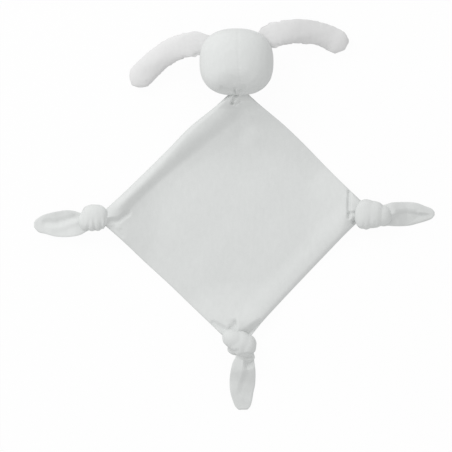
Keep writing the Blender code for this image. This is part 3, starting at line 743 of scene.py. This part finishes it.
# %% Bulges and creases of the three knots
KNOT_VOXEL, KNOT_SOFTENING = 0.00055, 16
KNOT_BULGES = {
    "left": [
        bulge((94.4, 217.8), 11.2, 90, (13.4, 13.6, 10.9), 2.5, 4, 0.02, 1.5),
        bulge((85.5, 221.4), 10.4, 10, (7.0, 9.6, 7.6), 2.2),
    ],
    "right": [
        bulge((366.0, 214.4), 11.0, 84, (15.2, 11.4, 10.3), 2.3, 3, 0.0, 0.5),
        bulge((373.6, 214.6), 10.9, 84, (13.6, 11.2, 10.1), 2.3, 3, 0.0, 0.5),
        bulge((381.0, 215.4), 9.8, 0, (10.6, 10.6, 9.0), 2.2, 3, 0.0, 0.5),
    ],
    "bottom": [
        bulge((234.8, 339.6), 11.4, -26, (13.2, 9.8, 10.4), 2.1, 4, 0.02, 1.0),
        bulge((236.0, 347.4), 7.6, 0, (8.8, 8.0, 5.6), 2.2),
        bulge((240.8, 343.4), 11.2, -40, (12.6, 12.0, 10.4), 2.2, 4, 0.01, 0.4),
        bulge((247.0, 346.4), 10.8, 76, (12.0, 9.2, 9.6), 2.1, 4, 0.01, 0.2),
        bulge((245.4, 356.6), 7.6, 4, (9.4, 7.0, 5.6), 2.2),
    ],
}
KNOT_CREASES = {
    "left": [
        ([(99.4, 204), (99.2, 214), (100.4, 231)], 3.0, 0.6),
        ([(93.6, 216), (94.8, 231)], 2.6, 1.9),
        ([(101.2, 217), (101.6, 231)], 2.4, 1.7),
        ([(105.4, 212), (106, 230)], 2.4, 1.7),
        ([(89.6, 217), (87.4, 231)], 2.8, 1.4),
        ([(87.4, 224), (82.6, 208)], 3.0, 0.8),
    ],
    "right": [
        ([(370.4, 214), (369, 230)], 3.0, 0.5),
        ([(364.4, 221), (363.4, 231)], 2.6, 0.8),
        ([(375.6, 221), (374.6, 230)], 2.6, 0.9),
    ],
    "bottom": [
        ([(240.6, 350.4), (234.4, 352.4), (225, 349.6)], 3.6, 3.0),
        ([(229, 350), (236, 358)], 3.0, 1.8),
        ([(247.6, 338), (243, 349)], 3.0, 0.25),
        ([(247, 352), (247, 362)], 8.0, 2.6),
        ([(238, 355.2), (247, 354), (254, 353.6)], 1.9, 2.0),
        ([(238.5, 358.4), (247, 357.8), (253.6, 357.2)], 1.6, 1.8),
        ([(239, 361.8), (247, 361.4), (253.6, 360.8)], 1.5, 1.2),
    ],
}

# %% Tie the three knots
for name, place in KNOTS.items():
    skins = [capped_tube(f"bulge_{name}", rings, CLOTH) for rings in KNOT_BULGES[name]]
    knot = fuse(skins, f"cloth_knot_{name}")
    points, normals = points_of(knot), normals_of(knot)
    upper = unit((points[:, 2] - 7) / 6)
    for line, width, depth in KNOT_CREASES[name]:
        pressed = upper * crease(points[:, 0], points[:, 1], line, width, depth, True)
        points += normals * pressed[:, None]
    # Faint wraps go round the sides, which the photograph doesn't show.
    out = np.array((*place["out"], 0.0))
    from_middle = points - (*place["centre"], KNOT_MIDDLE)
    turn = np.arctan2(from_middle[:, 2], from_middle @ np.array((-out[1], out[0], 0)))
    wraps = 0.30 * np.sin(from_middle @ out * 0.85 + 1.4 * np.sin(turn)) * (1 - upper)
    points += normals * wraps[:, None]
    settle(knot, points, CLEARANCE)
    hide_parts(f"knot_{name}")
    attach(knot, f"knot_{name}")
    print("Knot", name, points.min(0).round(1), points.max(0).round(1), len(points), "points")

# %% [markdown]
# ## The tails
# The corner's point comes out of the knot as a leaf of folded cloth. It droops to the surface, its
# sides cup upwards, and it keeps creases from the tie. Each leaf is a closed sheet between two
# edges that are set from the photograph.

# %% Tail outlines
# Both edges run from the knot to the tip. Folds and steps are lines with a width and a depth.
TAILS = {
    "left": {
        "first": [
            (93, 214), (84, 214), (78, 212), (72, 210.4), (65, 210.2),
            (58, 211.2), (51, 212.6), (43.5, 214.8), (37, 218.6), (34, 222.3),
        ],
        "second": [
            (93, 229), (87, 231.2), (81, 234.6), (75, 236.2), (68, 237),
            (61, 237), (54, 236.2), (46, 234), (38.5, 232), (34, 227.2),
        ],
        "folds": [
            (((46, 223), (56, 223), (67, 220), (74, 218)), 5.6, -1.5),
            (((52, 229.5), (62, 228), (74, 223), (80, 220)), 5.0, 0.5),
        ],
        "cups": (1.0, 0.55), "drop": 0.9, "fall": 0.0, "lift": 3.4,
    },
    "right": {
        "first": [
            (374, 207), (381, 205.6), (386, 204.2), (392, 202.4), (400, 202),
            (409, 202), (417, 203), (425, 206), (431.5, 208.6), (434.6, 212),
        ],
        "second": [
            (374, 223), (382, 226.2), (388, 225.8), (394, 226.2), (402, 226.2),
            (410, 225.5), (417, 223.7), (425, 221.4), (431.5, 218.8), (434.6, 215.2),
        ],
        "folds": [
            (((398, 212.2), (405, 211.4), (416, 212.4)), 3.6, -1.3),
        ],
        "step": (((387, 221), (393, 216.4), (398, 213.2), (406, 212.2), (423, 214)), 4.0, 3.2),
        "cups": (0.0, 0.0), "drop": 3.2, "fall": 1.8, "lift": 5.6,
    },
    "bottom": {
        "first": [
            (236, 350), (235.4, 357), (232.8, 362), (231, 369), (229.8, 377),
            (229.6, 385), (230.4, 392.5), (232.6, 400), (235, 406), (238.6, 409.8),
        ],
        "second": [
            (253, 350), (253.8, 357), (254.6, 363.5), (255.4, 370), (255.5, 378),
            (254.9, 385.6), (253.4, 392.5), (252.2, 400), (250.4, 406), (247.6, 409.6),
        ],
        "folds": [
            (((247, 360), (246.5, 367)), 4.0, -1.6),
            (((250.8, 354), (249.4, 363)), 7.0, -3.2),
        ],
        "step": (((239.4, 389), (240.4, 383), (244, 375), (250, 362)), 6.0, 2.0),
        "cups": (0.2, 0.0), "drop": 3.0, "fall": 0.8, "lift": 4.8,
    },
}
TAIL_THICKNESS, TAIL_ROOT_RISE, TAIL_CUP = 2.6, 8.6, 3.2


# %% Make the tails
def step(x, y, places, width, depth):
    """Cloth that lies lower to the right of a line through places, past a short wall."""
    points = [picture(*place) for place in places]
    nearest, off = FAR, 0.0
    for start, end in zip(points, points[1:]):
        gap, _ = segment(x, y, start, end)
        dx, dy = end[0] - start[0], end[1] - start[1]
        side = (x - start[0]) * dy - (y - start[1]) * dx
        off = np.where(gap < nearest, side / np.hypot(dx, dy), off)
        nearest = np.minimum(nearest, gap)
    way = np.subtract(points[-1], points[0])
    length = np.hypot(*way)
    along = ((x - points[0][0]) * way[0] + (y - points[0][1]) * way[1]) / length
    past = np.maximum(np.maximum(-along, along - length), 0)
    return -depth * (1 - ease(off / width + 0.5)) * ease(past / 9)


def make_tail(name, tail, rows=120, columns=72):
    first = np.array([picture(*place) for place in tail["first"]])
    second = np.array([picture(*place) for place in tail["second"]])
    t = np.linspace(0, 1, rows)
    one, two = through(first, t), through(second, t)
    w = np.sin(np.linspace(-np.pi / 2, np.pi / 2, columns))
    share = (w + 1) / 2
    plan = one[:, None] * (1 - share[None, :, None]) + two[:, None] * share[None, :, None]
    x, y = plan[..., 0], plan[..., 1]
    # It droops away from the knot, then its sides cup up and its edges fall.
    run = np.linalg.norm((one + two) / 2 - (one[0] + two[0]) / 2, axis=1)[:, None]
    rise = TAIL_ROOT_RISE * ease((run - 9) / 27)
    last = run.max()
    open_share = (1 - ease((run - 7) / 16)) * ease((run - last * 0.55) / (last * 0.50))
    sides = np.where(w < 0, *tail["cups"])[None, :]
    cup = TAIL_CUP * np.abs(w[None, :]) ** 2.6 * sides * open_share
    drop = tail["drop"] * np.maximum(w + 0.1, 0) + tail["fall"] * np.maximum(-0.1 - w, 0)
    drop = drop[None, :] * open_share
    lines = 0.0
    for places, width, depth in tail["folds"]:
        lines -= np.sign(depth) * crease(x, y, places, width, abs(depth))
    if "step" in tail:
        lines += step(x, y, *tail["step"])
    middle = 1.5 + rise + cup + tail["lift"] * open_share - drop + lines
    # The leaf thins to both sides and to its tip, and never goes below the floor.
    thick = TAIL_THICKNESS / 2 * np.sqrt(unit(1 - np.abs(w[None, :]) ** 6))
    tip = unit((t[:, None] - 0.93) / 0.07)
    thick = thick * (np.sqrt(unit(1 - tip ** 2)) * 0.94 + 0.06)
    middle = np.maximum(middle, thick + 0.1)
    ripple = 0.12 * np.sin(x / 1.9 + y / 5) * np.sin(y / 2.6) * open_share
    top, under = middle + thick + ripple, np.maximum(middle - thick + ripple, 0.05)
    upper, lower = np.dstack([x, y, top]), np.dstack([x, y, under])
    return two_sided(f"cloth_tail_{name}", upper, lower, CLOTH)


for name, tail in TAILS.items():
    piece = make_tail(name, tail)
    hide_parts(f"tail_{name}")
    knot = KNOTS[name]
    out = np.array(knot["out"])
    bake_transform(piece)
    print("Tail", name, len(piece.data.vertices), "points")

# %% [markdown]
# ## The head
# The head is a ball of fibre in a velour cover with full sides and a broad crown. The cover starts
# a little too small. A cloth simulation with pressure swells it between its seams, as stuffing
# does. The back seam and the gathered neck are drawn in afterwards.

# %% Head shape
HEAD_CENTRE = np.array((2.5, 152.0, 30.5))
HEAD_HALF = np.array((38.25, 34.75, 31.0))
HEAD_SQUARE, HEAD_ROUND = 2.5, 2.15


def head_rings(shrink, latitudes=64, around=96):
    t = np.linspace(-np.pi / 2, np.pi / 2, latitudes)[:, None]
    s = np.linspace(0, 2 * np.pi, around + 1)[None, :-1]
    rise = signed_power(np.sin(t), 2 / HEAD_SQUARE)
    girth = np.abs(np.cos(t)) ** (2 / HEAD_SQUARE)
    side = signed_power(np.cos(s), 2 / HEAD_ROUND)
    up = signed_power(np.sin(s), 2 / HEAD_ROUND)
    half = HEAD_HALF - shrink
    return HEAD_CENTRE + np.stack(
        [half[0] * girth * side, half[1] * rise * np.ones_like(s), half[2] * girth * up], -1
    )


def outward(points):
    """How far each point lies outside the head's true form, as a share: 0 is on it."""
    x, y, z = np.moveaxis(np.abs((points - HEAD_CENTRE) / HEAD_HALF), -1, 0)
    belt = (x ** HEAD_ROUND + z ** HEAD_ROUND) ** (1 / HEAD_ROUND)
    return (belt ** HEAD_SQUARE + y ** HEAD_SQUARE) ** (1 / HEAD_SQUARE) - 1


# %% Swelling
SIMULATED_FRAMES = 20
FILLING_PRESSURE = 4.0


def simulate(piece, held):
    """A cloth simulation with pressure inside, with some points held where seams are."""
    group = piece.vertex_groups.new(name="seams")
    for index in held:
        group.add([int(index)], 1.0, "REPLACE")
    cover = piece.modifiers.new("filling", "CLOTH")
    settings = cover.settings
    settings.vertex_group_mass = "seams"
    settings.quality = 6
    settings.mass = 0.15
    settings.tension_stiffness = 12
    settings.compression_stiffness = 12
    settings.bending_stiffness = 0.3
    settings.use_pressure = True
    settings.uniform_pressure_force = FILLING_PRESSURE
    settings.effector_weights.gravity = 0
    cover.point_cache.frame_start = 1
    cover.point_cache.frame_end = SIMULATED_FRAMES
    for frame_number in range(1, SIMULATED_FRAMES + 1):
        SCENE.frame_set(frame_number)
    bake(piece)
    piece.vertex_groups.clear()
    SCENE.frame_set(1)


def swell(piece, voxel, cap, seams=None):
    """Fills a closed cover; no point moves further than the cap, in millimetres."""
    add_remesh(piece, voxel)
    bake(piece)
    start = points_of(piece)
    simulate(piece, np.flatnonzero(seams(start)) if seams else [])
    moved = points_of(piece) - start
    far = np.linalg.norm(moved, axis=1, keepdims=True)
    set_points(piece, start + moved * np.minimum(1, cap / np.maximum(far, 1e-9)))
    print("Swelled", piece.name, "by up to", round(float(far.max()), 2), "mm, capped at", cap)


def refine(piece, levels):
    smooth = piece.modifiers.new("rounder", "SUBSURF")
    smooth.levels = smooth.render_levels = levels
    return bake(piece)


# %% Seams and creases of the head
SEAM_HALF_WIDTH = 2.2


def back_seam_x(y):
    """From the crown, the back seam leans a little to the right on its way to the neck."""
    return through(np.array((7.2, 6.6, 4.9, 4.2, 4.0, 4.0)), (y - 117.0) / 70.0)


def head_seams(points):
    x, y, z = points.T
    on_side = np.abs(z - HEAD_CENTRE[2]) < SEAM_HALF_WIDTH
    on_back = (np.abs(x - back_seam_x(y)) < SEAM_HALF_WIDTH) & (z > 40)
    at_neck = y < 121
    return on_side | on_back | at_neck


HEAD_CREASES = (
    ([(222, 88.5), (227, 90.6), (232, 91)], 3.6, 2.2),
    ([(234.6, 97), (235, 88.5)], 2.2, 1.5),
    ([(241, 92), (244, 88.6)], 5.0, 2.4),
    ([(247, 92.5), (252, 92), (259, 89.5)], 5.5, 2.0),
)


def finish_head(piece):
    points, normals = points_of(piece), normals_of(piece)
    x, y, z = points.T
    # The back seam with its stitches, and the side seam.
    from_seam = x - back_seam_x(y)
    on_back = unit((z - HEAD_CENTRE[2]) / 12)
    shift = -0.20 * bump(from_seam / 2.4) * on_back
    shift += 0.04 * np.sin(y * 1.7) * bump(from_seam / 5.0) * on_back
    shift -= 0.5 * bump((z - HEAD_CENTRE[2]) / 1.6)
    # Pleats and creases that run out from the neck, where the cover is pinched.
    neck = picture(237, 98)
    away = np.hypot(x - neck[0], y - neck[1])
    turn = np.arctan2(x - neck[0], y - neck[1])
    pleat = np.cos(turn * 8 + 1.1 * np.sin(turn * 3 + 1)) + 0.4 * np.cos(turn * 17 + 2)
    shift += 0.60 * pleat * ease((away - 3) / 15) * (1 - ease(away / 4.5)) * unit(z / 20)
    shift -= 0.5 * ease(away / 11)
    for places, width, depth in HEAD_CREASES:
        shift += crease(x, y, places, width, depth) * on_back
    points = points + normals * shift[:, None]
    points[:, 2] -= 7.0 * ease(away / 31) * unit((z - HEAD_CENTRE[2] - 2) / 14)
    settle(piece, points, HEAD_CLEARANCE)


# %% Make the head
head = capped_tube("stuffed_head", head_rings(1.6), HEAD_CLOTH)
swell(head, voxel=0.0045, cap=3.0, seams=head_seams)
points = points_of(head)
scale = 1 / (1 + np.maximum(outward(points), -0.02))
points = HEAD_CENTRE + (points - HEAD_CENTRE) * scale[:, None] * 0.998
set_points(head, points)
refine(head, 3)
finish_head(head)
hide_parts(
    "head_back_panel_left", "head_back_panel_right", "head_front_panel", "head_filling"
)
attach(head, "head")
print("Head:", len(head.data.polygons), "faces")

# %% [markdown]
# ## The ears
# Each ear is a long tube of velour with a round tip and a little filling. It is flat in the head's
# side seam and droops to the surface. Rings along its middle line are swelled as the head is, then
# drawn out to the ear's real width and length.

# %% Ear shape
EAR_LENGTH, EAR_WIDTH, EAR_ROOT_WIDTH = 85.0, 25.2, 27.5
EAR_THICKNESS, EAR_ROOT_THICKNESS = 13.0, 3.4
EARS = {
    "left": {"root": math.radians(152.4), "headings": (176, 229), "bend": 2.0, "phase": 0.4},
    "right": {"root": math.radians(39), "headings": (22, -38), "bend": 1.0, "phase": 2.1},
}
EAR_TUCK, EAR_TIP_GAP = 9.0, 1.2
EAR_TIP_START = EAR_LENGTH * 0.80
BODY_SHARE, TIP_SHARE = 0.78, 0.22
STEPS = 24


def head_outline(direction):
    a, b = HEAD_HALF[:2]
    dx, dy = math.cos(direction), math.sin(direction)
    reach = (abs(dx / a) ** HEAD_SQUARE + abs(dy / b) ** HEAD_SQUARE) ** (-1 / HEAD_SQUARE)
    return HEAD_CENTRE + np.array((reach * dx, reach * dy, 0.0))


def ear_heading(ear, share):
    first, last = (math.radians(turn) for turn in ear["headings"])
    return first + (last - first) * (1 - (1 - unit(share)) ** ear["bend"])


def across_of(turn):
    return np.stack([-np.sin(turn), np.cos(turn), np.zeros_like(turn)], -1)


def ear_middle(ear, runs):
    steps = (np.arange(STEPS) + 0.5) / STEPS
    turns = ear_heading(ear, steps[None, :] * runs[:, None] / EAR_LENGTH)
    plan = np.stack([np.cos(turns), np.sin(turns)], -1).sum(1) * (runs[:, None] / STEPS)
    share = unit((runs - 7) / 60)
    droop = 0.55 * (1 - share) + 0.45 * ease(share)
    height = EAR_THICKNESS / 2 + (HEAD_CENTRE[2] - EAR_THICKNESS / 2) * droop
    return np.column_stack([plan + head_outline(ear["root"])[:2], height])


def ear_width(runs):
    return EAR_WIDTH + (EAR_ROOT_WIDTH - EAR_WIDTH) * ease(runs / 26)


def ear_rings(ear, shrink, count=90, around=56):
    u = np.linspace(0, 1, count)
    tip_length = EAR_LENGTH - shrink - EAR_TIP_START
    along_body = -EAR_TUCK + (EAR_TIP_START + EAR_TUCK) * u / BODY_SHARE
    along_tip = EAR_TIP_START + tip_length * np.sin(np.pi / 2 * (u - BODY_SHARE) / TIP_SHARE)
    runs = np.where(u < BODY_SHARE, along_body, along_tip)
    round_tip = np.sqrt(unit(1 - ((runs - EAR_TIP_START) / tip_length) ** 2))
    end = np.where(runs > EAR_TIP_START, round_tip, 1.0)
    width = ear_width(runs)
    swelling = 1 - ease((runs - 4) / 26)
    thick = EAR_ROOT_THICKNESS + (EAR_THICKNESS - EAR_ROOT_THICKNESS) * swelling
    middle = ear_middle(ear, runs)
    across = across_of(ear_heading(ear, runs / EAR_LENGTH))
    s = np.linspace(0, 2 * np.pi, around + 1)[None, :-1, None]
    side = ((width / 2 - shrink) * end)[:, None, None] * np.cos(s)
    up = ((thick / 2 - shrink * 0.4) * end)[:, None, None] * np.sin(s)
    return middle[:, None] + side * across[:, None] + up * np.array((0.0, 0.0, 1.0))


# %% Fit and finish an ear
def nearest_run(ear, points):
    """How far along the ear each point lies, how far across it, and how far above its middle."""
    runs = np.linspace(-EAR_TUCK, EAR_LENGTH, 120)
    middle = ear_middle(ear, runs)
    gap = np.linalg.norm(points[:, None, :2] - middle[None, :, :2], axis=2)
    best = gap.argmin(1)
    turn = ear_heading(ear, runs[best] / EAR_LENGTH)
    offset = points - middle[best]
    return runs[best], offset[:, 0] * -np.sin(turn) + offset[:, 1] * np.cos(turn), offset[:, 2]


def fit_ear(piece, ear):
    """Draws a swelled ear out to the real ear's width and length."""
    points = points_of(piece)
    run, across, _ = nearest_run(ear, points)
    marks = np.linspace(-6, EAR_LENGTH - 11, 36)
    widest = np.array([np.abs(across[np.abs(run - mark) < 3]).max() for mark in marks])
    wanted = ear_width(marks) / 2 * (1 - 0.30 * ease((marks + 8) / 14))
    wider = np.interp(run, marks, wanted / widest) - 1
    side = across_of(ear_heading(ear, run / EAR_LENGTH))
    points += (across * wider)[:, None] * side
    last = float(ear_heading(ear, 1.0))
    ahead = np.array((math.cos(last), math.sin(last), 0.0))
    tip = ear_middle(ear, np.array([EAR_LENGTH]))[0]
    short = -EAR_TIP_GAP - float(((points - tip) @ ahead).max())
    points += (short * unit((run / EAR_LENGTH - 0.75) / 0.25))[:, None] * ahead
    set_points(piece, points)
    print("Ear widened by", round(float(wider.max()), 2), "and drawn out by", round(short, 2), "mm")


def finish_ear(piece, ear):
    phase = ear["phase"]
    points, normals = points_of(piece), normals_of(piece)
    run, across, up = nearest_run(ear, points)
    shift = -0.45 * bump(up / 1.3) * unit((np.abs(across) - 6) / 4)
    root = ease((run - 1) / 20) * np.sign(up)
    pleat = 0.06 * root * np.sin(across * 1.15 + phase)
    shift += pleat * unit(np.abs(up) / 1.5) * np.sign(up)
    bend = bump((run - 42) / 30)
    inner = unit(across * np.sign(ear["headings"][1] - ear["headings"][0]) / 10)
    shift += 0.08 * bend * inner * np.sin(run * 0.6 + phase)
    shift += 0.18 * np.sin(run / 6.5 + phase) * np.sin(across / 5 + 2 * phase)
    points += normals * shift[:, None]
    settle(piece, points, CLEARANCE)


# %% Make the ears
for name, ear in EARS.items():
    piece = capped_tube(f"stuffed_ear_{name}", ear_rings(ear, 0.9), EAR_CLOTH)
    swell(piece, voxel=0.0030, cap=1.1)
    refine(piece, 2)
    fit_ear(piece, ear)
    finish_ear(piece, ear)
    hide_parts(f"ear_{name}_top_panel", f"ear_{name}_under_panel", f"ear_{name}_filling")
    turn = ear_heading(ear, 0.0)
    out = np.array((math.cos(turn), math.sin(turn), 0.0))
    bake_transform(piece)
    print("Ear", name, len(piece.data.polygons), "faces")

# %% [markdown]
# ## Thread
# A running stitch gathers the cloth's corner at the head. Only short bits of its thread show.
# Geometry Nodes lay one small stitch at even steps along a path.

# %% Stitches
STITCH_STEP, STITCH_LENGTH, STITCH_THICKNESS = 3.0, 1.2, 0.34


def stitch_tree():
    """Turns a path into capsules of thread, one at each step."""
    tree = bpy.data.node_groups.new("running_stitches", "GeometryNodeTree")
    for name, way in (("Path", "INPUT"), ("Stitches", "OUTPUT")):
        tree.interface.new_socket(name, in_out=way, socket_type="NodeSocketGeometry")
    nodes = tree.nodes
    given, out = nodes.new("NodeGroupInput"), nodes.new("NodeGroupOutput")
    curve = nodes.new("GeometryNodeMeshToCurve")
    steps = nodes.new("GeometryNodeCurveToPoints")
    steps.mode = "LENGTH"
    set_inputs(steps, {"Length": STITCH_STEP * MM})
    ball = {"Segments": 8, "Rings": 6, "Radius": 0.5}
    capsule = add_node(nodes, "GeometryNodeMeshUVSphere", ball)
    size = (STITCH_THICKNESS * MM, STITCH_THICKNESS * MM, STITCH_LENGTH * MM)
    place = add_node(nodes, "GeometryNodeInstanceOnPoints", {"Scale": size})
    real = nodes.new("GeometryNodeRealizeInstances")
    colour = add_node(nodes, "GeometryNodeSetMaterial", {"Material": THREAD})
    wire(
        tree.links, (given, "Path", curve, "Mesh"), (curve, "Curve", steps, "Curve"),
        (steps, "Points", place, "Points"), (steps, "Rotation", place, "Rotation"),
        (capsule, "Mesh", place, "Instance"), (place, "Instances", real, "Geometry"),
        (real, "Geometry", colour, "Geometry"), (colour, "Geometry", out, "Stitches"),
    )
    return tree


def stitches_along(name, path):
    """A row of stitches along points in millimetres, as a plain mesh."""
    mesh = bpy.data.meshes.new(name)
    pairs = [(k, k + 1) for k in range(len(path) - 1)]
    mesh.from_pydata((path * MM).tolist(), pairs, [])
    row = add_object(name, mesh)
    sewn = row.modifiers.new("stitches", "NODES")
    sewn.node_group = stitch_tree()
    return bake(row)


# %% Gather thread at the neck
x = np.linspace(-7.0, 17.0, 40)
y = np.full(x.shape, 114.0)
height = top_height(x, y) + top_creases(x, y)
thread = stitches_along("neck_gather_stitches", np.column_stack([x, y, height + 0.02]))
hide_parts("neck_gather_thread")
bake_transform(thread)
print("Stitches:", len(thread.data.polygons), "faces")
